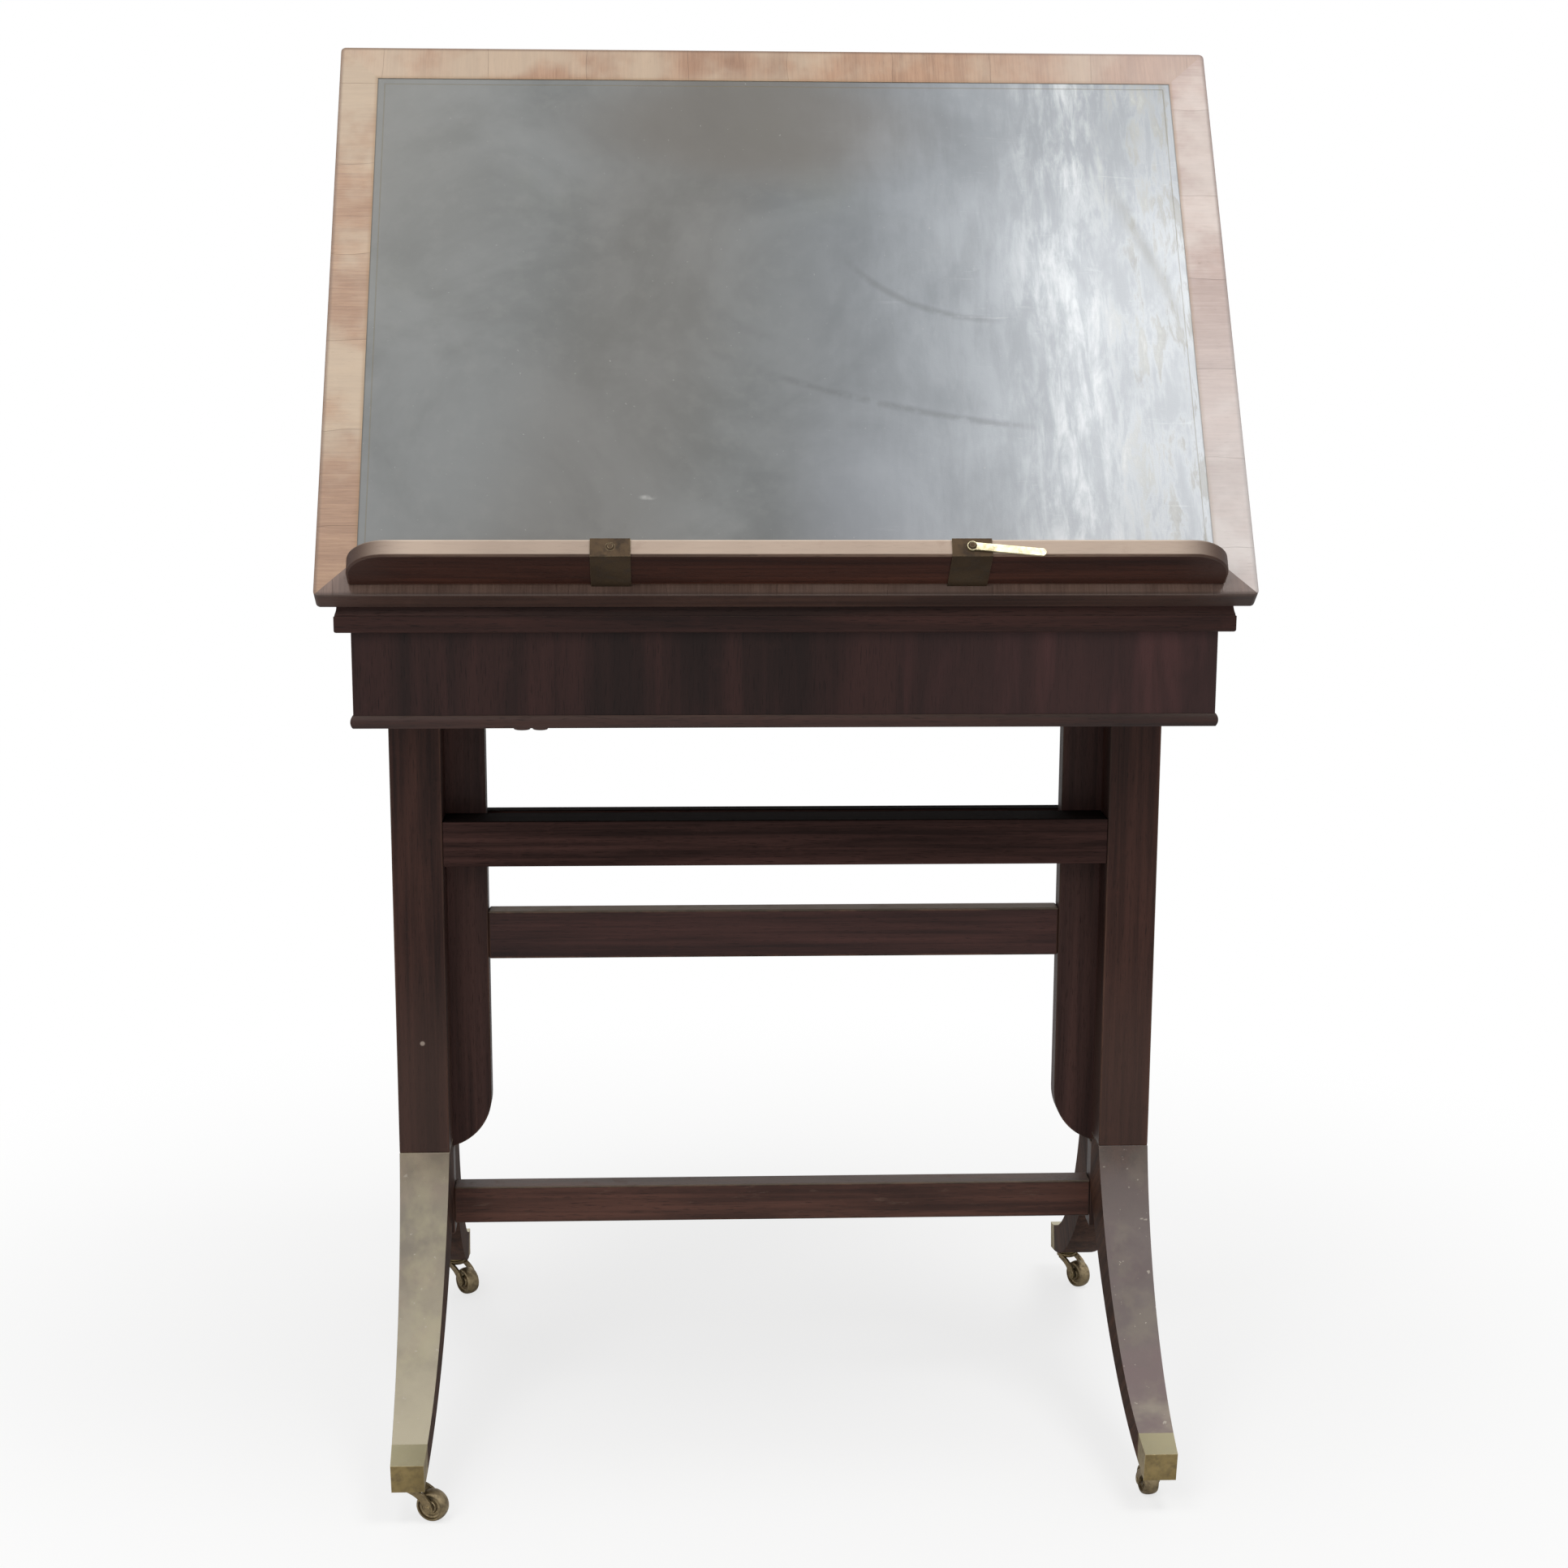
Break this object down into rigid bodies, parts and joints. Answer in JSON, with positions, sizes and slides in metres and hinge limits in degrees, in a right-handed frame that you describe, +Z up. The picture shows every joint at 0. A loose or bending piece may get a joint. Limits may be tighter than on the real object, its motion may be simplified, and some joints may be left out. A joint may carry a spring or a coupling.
{
  "type": "reading table",
  "caption": "Reading table: a leather-lined top tilts on a prop strut and racks, on a frame that slides up between uprights on sabre legs with brass casters.",
  "frame": {"origin": "on the floor, under the middle of the bounding box at the slope of the picture", "axes": "+Z up, -Y towards the reader, +X to the reader's right"},
  "size_m": [0.712, 0.5752, 1.1616],
  "materials": {
    "mahogany": "french polished, dark red brown",
    "leg_mahogany": "french polished, slightly faded",
    "border_veneer": "polished, sun faded",
    "plain_wood": "planed, unpolished",
    "leather": "worn, dull sheen",
    "brass": "tarnished",
    "aged_brass": "dark tarnish",
    "polished_brass": "rubbed bright"
  },
  "bodies": {
    "stand": {"upright_front_left": "leg_mahogany", "upright_front_right": "leg_mahogany", "upright_rear_left": "leg_mahogany", "upright_rear_right": "leg_mahogany", "core_left": "mahogany", "core_right": "mahogany", "front_rail": "mahogany", "rear_rail": "mahogany", "stretcher": "mahogany", "leg_front_left": "leg_mahogany", "leg_front_right": "leg_mahogany", "leg_rear_left": "leg_mahogany", "leg_rear_right": "leg_mahogany", "cap_front_left": "brass", "cap_front_right": "brass", "cap_rear_left": "brass", "cap_rear_right": "brass", "screw_plates": "brass"},
    "rising_frame": {"stile_left": "mahogany", "stile_right": "mahogany", "slide_rail": "mahogany", "bearer_left": "plain_wood", "bearer_right": "plain_wood", "frieze_front": "mahogany", "frieze_right": "mahogany", "frieze_back": "mahogany", "frieze_left": "mahogany", "cock_bead": "mahogany", "moulding_front": "mahogany", "moulding_right": "mahogany", "moulding_back": "mahogany", "moulding_left": "mahogany", "bed_panel": "plain_wood", "rack_left": "plain_wood", "rack_right": "plain_wood", "hinge_lower_leaves": "brass"},
    "top": {"top_panel": "mahogany", "crossbanding": "border_veneer", "leather_skin": "leather", "book_ledge": "mahogany", "ledge_plates": "aged_brass", "hinge_upper_leaves": "brass", "strut_brackets": "brass"},
    "strut": {"strut_arm_left": "plain_wood", "strut_arm_right": "plain_wood", "strut_cross_rail": "plain_wood", "strut_foot_bar": "plain_wood"},
    "page_arm": {"page_arm": "polished_brass"},
    "thumb_screw_left": {"thumb_screw_left": "brass"},
    "thumb_screw_right": {"thumb_screw_right": "brass"},
    "fork_front_left": {"fork_front_left": "brass"},
    "wheel_front_left": {"wheel_front_left": "brass"},
    "fork_front_right": {"fork_front_right": "brass"},
    "wheel_front_right": {"wheel_front_right": "brass"},
    "fork_rear_left": {"fork_rear_left": "brass"},
    "wheel_rear_left": {"wheel_rear_left": "brass"},
    "fork_rear_right": {"fork_rear_right": "brass"},
    "wheel_rear_right": {"wheel_rear_right": "brass"}
  },
  "joints": [
    {"name": "rise", "type": "slide", "parent": "stand", "child": "rising_frame", "axis": [0, 0, 1], "range_m": [0, 0.2]},
    {"name": "top_tilt", "type": "hinge", "parent": "rising_frame", "child": "top", "pos_m": [0, -0.23236, 0.7465], "axis": [1, 0, 0], "range_deg": [-54, 6]},
    {"name": "strut_fold", "type": "hinge", "parent": "top", "child": "strut", "pos_m": [0, -0.09729, 0.91794], "axis": [1, 0, 0], "range_deg": [-12, 108]},
    {"name": "page_arm_turn", "type": "hinge", "parent": "top", "child": "page_arm", "pos_m": [0.134, -0.28143, 0.78648], "axis": [0, -0.809, 0.5878], "continuous": true},
    {"name": "thumb_screw_left_turn", "type": "hinge", "parent": "stand", "child": "thumb_screw_left", "pos_m": [-0.292, 0.06264, 0.6], "axis": [0, 1, 0], "range_deg": [0, 180]},
    {"name": "thumb_screw_right_turn", "type": "hinge", "parent": "stand", "child": "thumb_screw_right", "pos_m": [0.292, 0.06264, 0.6], "axis": [0, 1, 0], "range_deg": [0, 180]},
    {"name": "swivel_front_left", "type": "hinge", "parent": "stand", "child": "fork_front_left", "pos_m": [-0.303, -0.24236, 0.03], "axis": [0, 0, 1], "continuous": true},
    {"name": "wheel_front_left_turn", "type": "hinge", "parent": "fork_front_left", "child": "wheel_front_left", "pos_m": [-0.28446, -0.24985, 0.013], "axis": [0.3746, 0.9272, 0], "continuous": true},
    {"name": "swivel_front_right", "type": "hinge", "parent": "stand", "child": "fork_front_right", "pos_m": [0.303, -0.24236, 0.03], "axis": [0, 0, 1], "continuous": true},
    {"name": "wheel_front_right_turn", "type": "hinge", "parent": "fork_front_right", "child": "wheel_front_right", "pos_m": [0.30022, -0.22255, 0.013], "axis": [-0.9903, -0.1392, 0], "continuous": true},
    {"name": "swivel_rear_left", "type": "hinge", "parent": "stand", "child": "fork_rear_left", "pos_m": [-0.303, 0.26564, 0.03], "axis": [0, 0, 1], "continuous": true},
    {"name": "wheel_rear_left_turn", "type": "hinge", "parent": "fork_rear_left", "child": "wheel_rear_left", "pos_m": [-0.29069, 0.24988, 0.013], "axis": [0.788, 0.6157, 0], "continuous": true},
    {"name": "swivel_rear_right", "type": "hinge", "parent": "stand", "child": "fork_rear_right", "pos_m": [0.303, 0.26564, 0.03], "axis": [0, 0, 1], "continuous": true},
    {"name": "wheel_rear_right_turn", "type": "hinge", "parent": "fork_rear_right", "child": "wheel_rear_right", "pos_m": [0.31239, 0.24798, 0.013], "axis": [0.8829, 0.4695, 0], "continuous": true}
  ],
  "couplings": [
    {"joint": "strut_fold", "follows": "top_tilt", "ratio": -2}
  ]
}
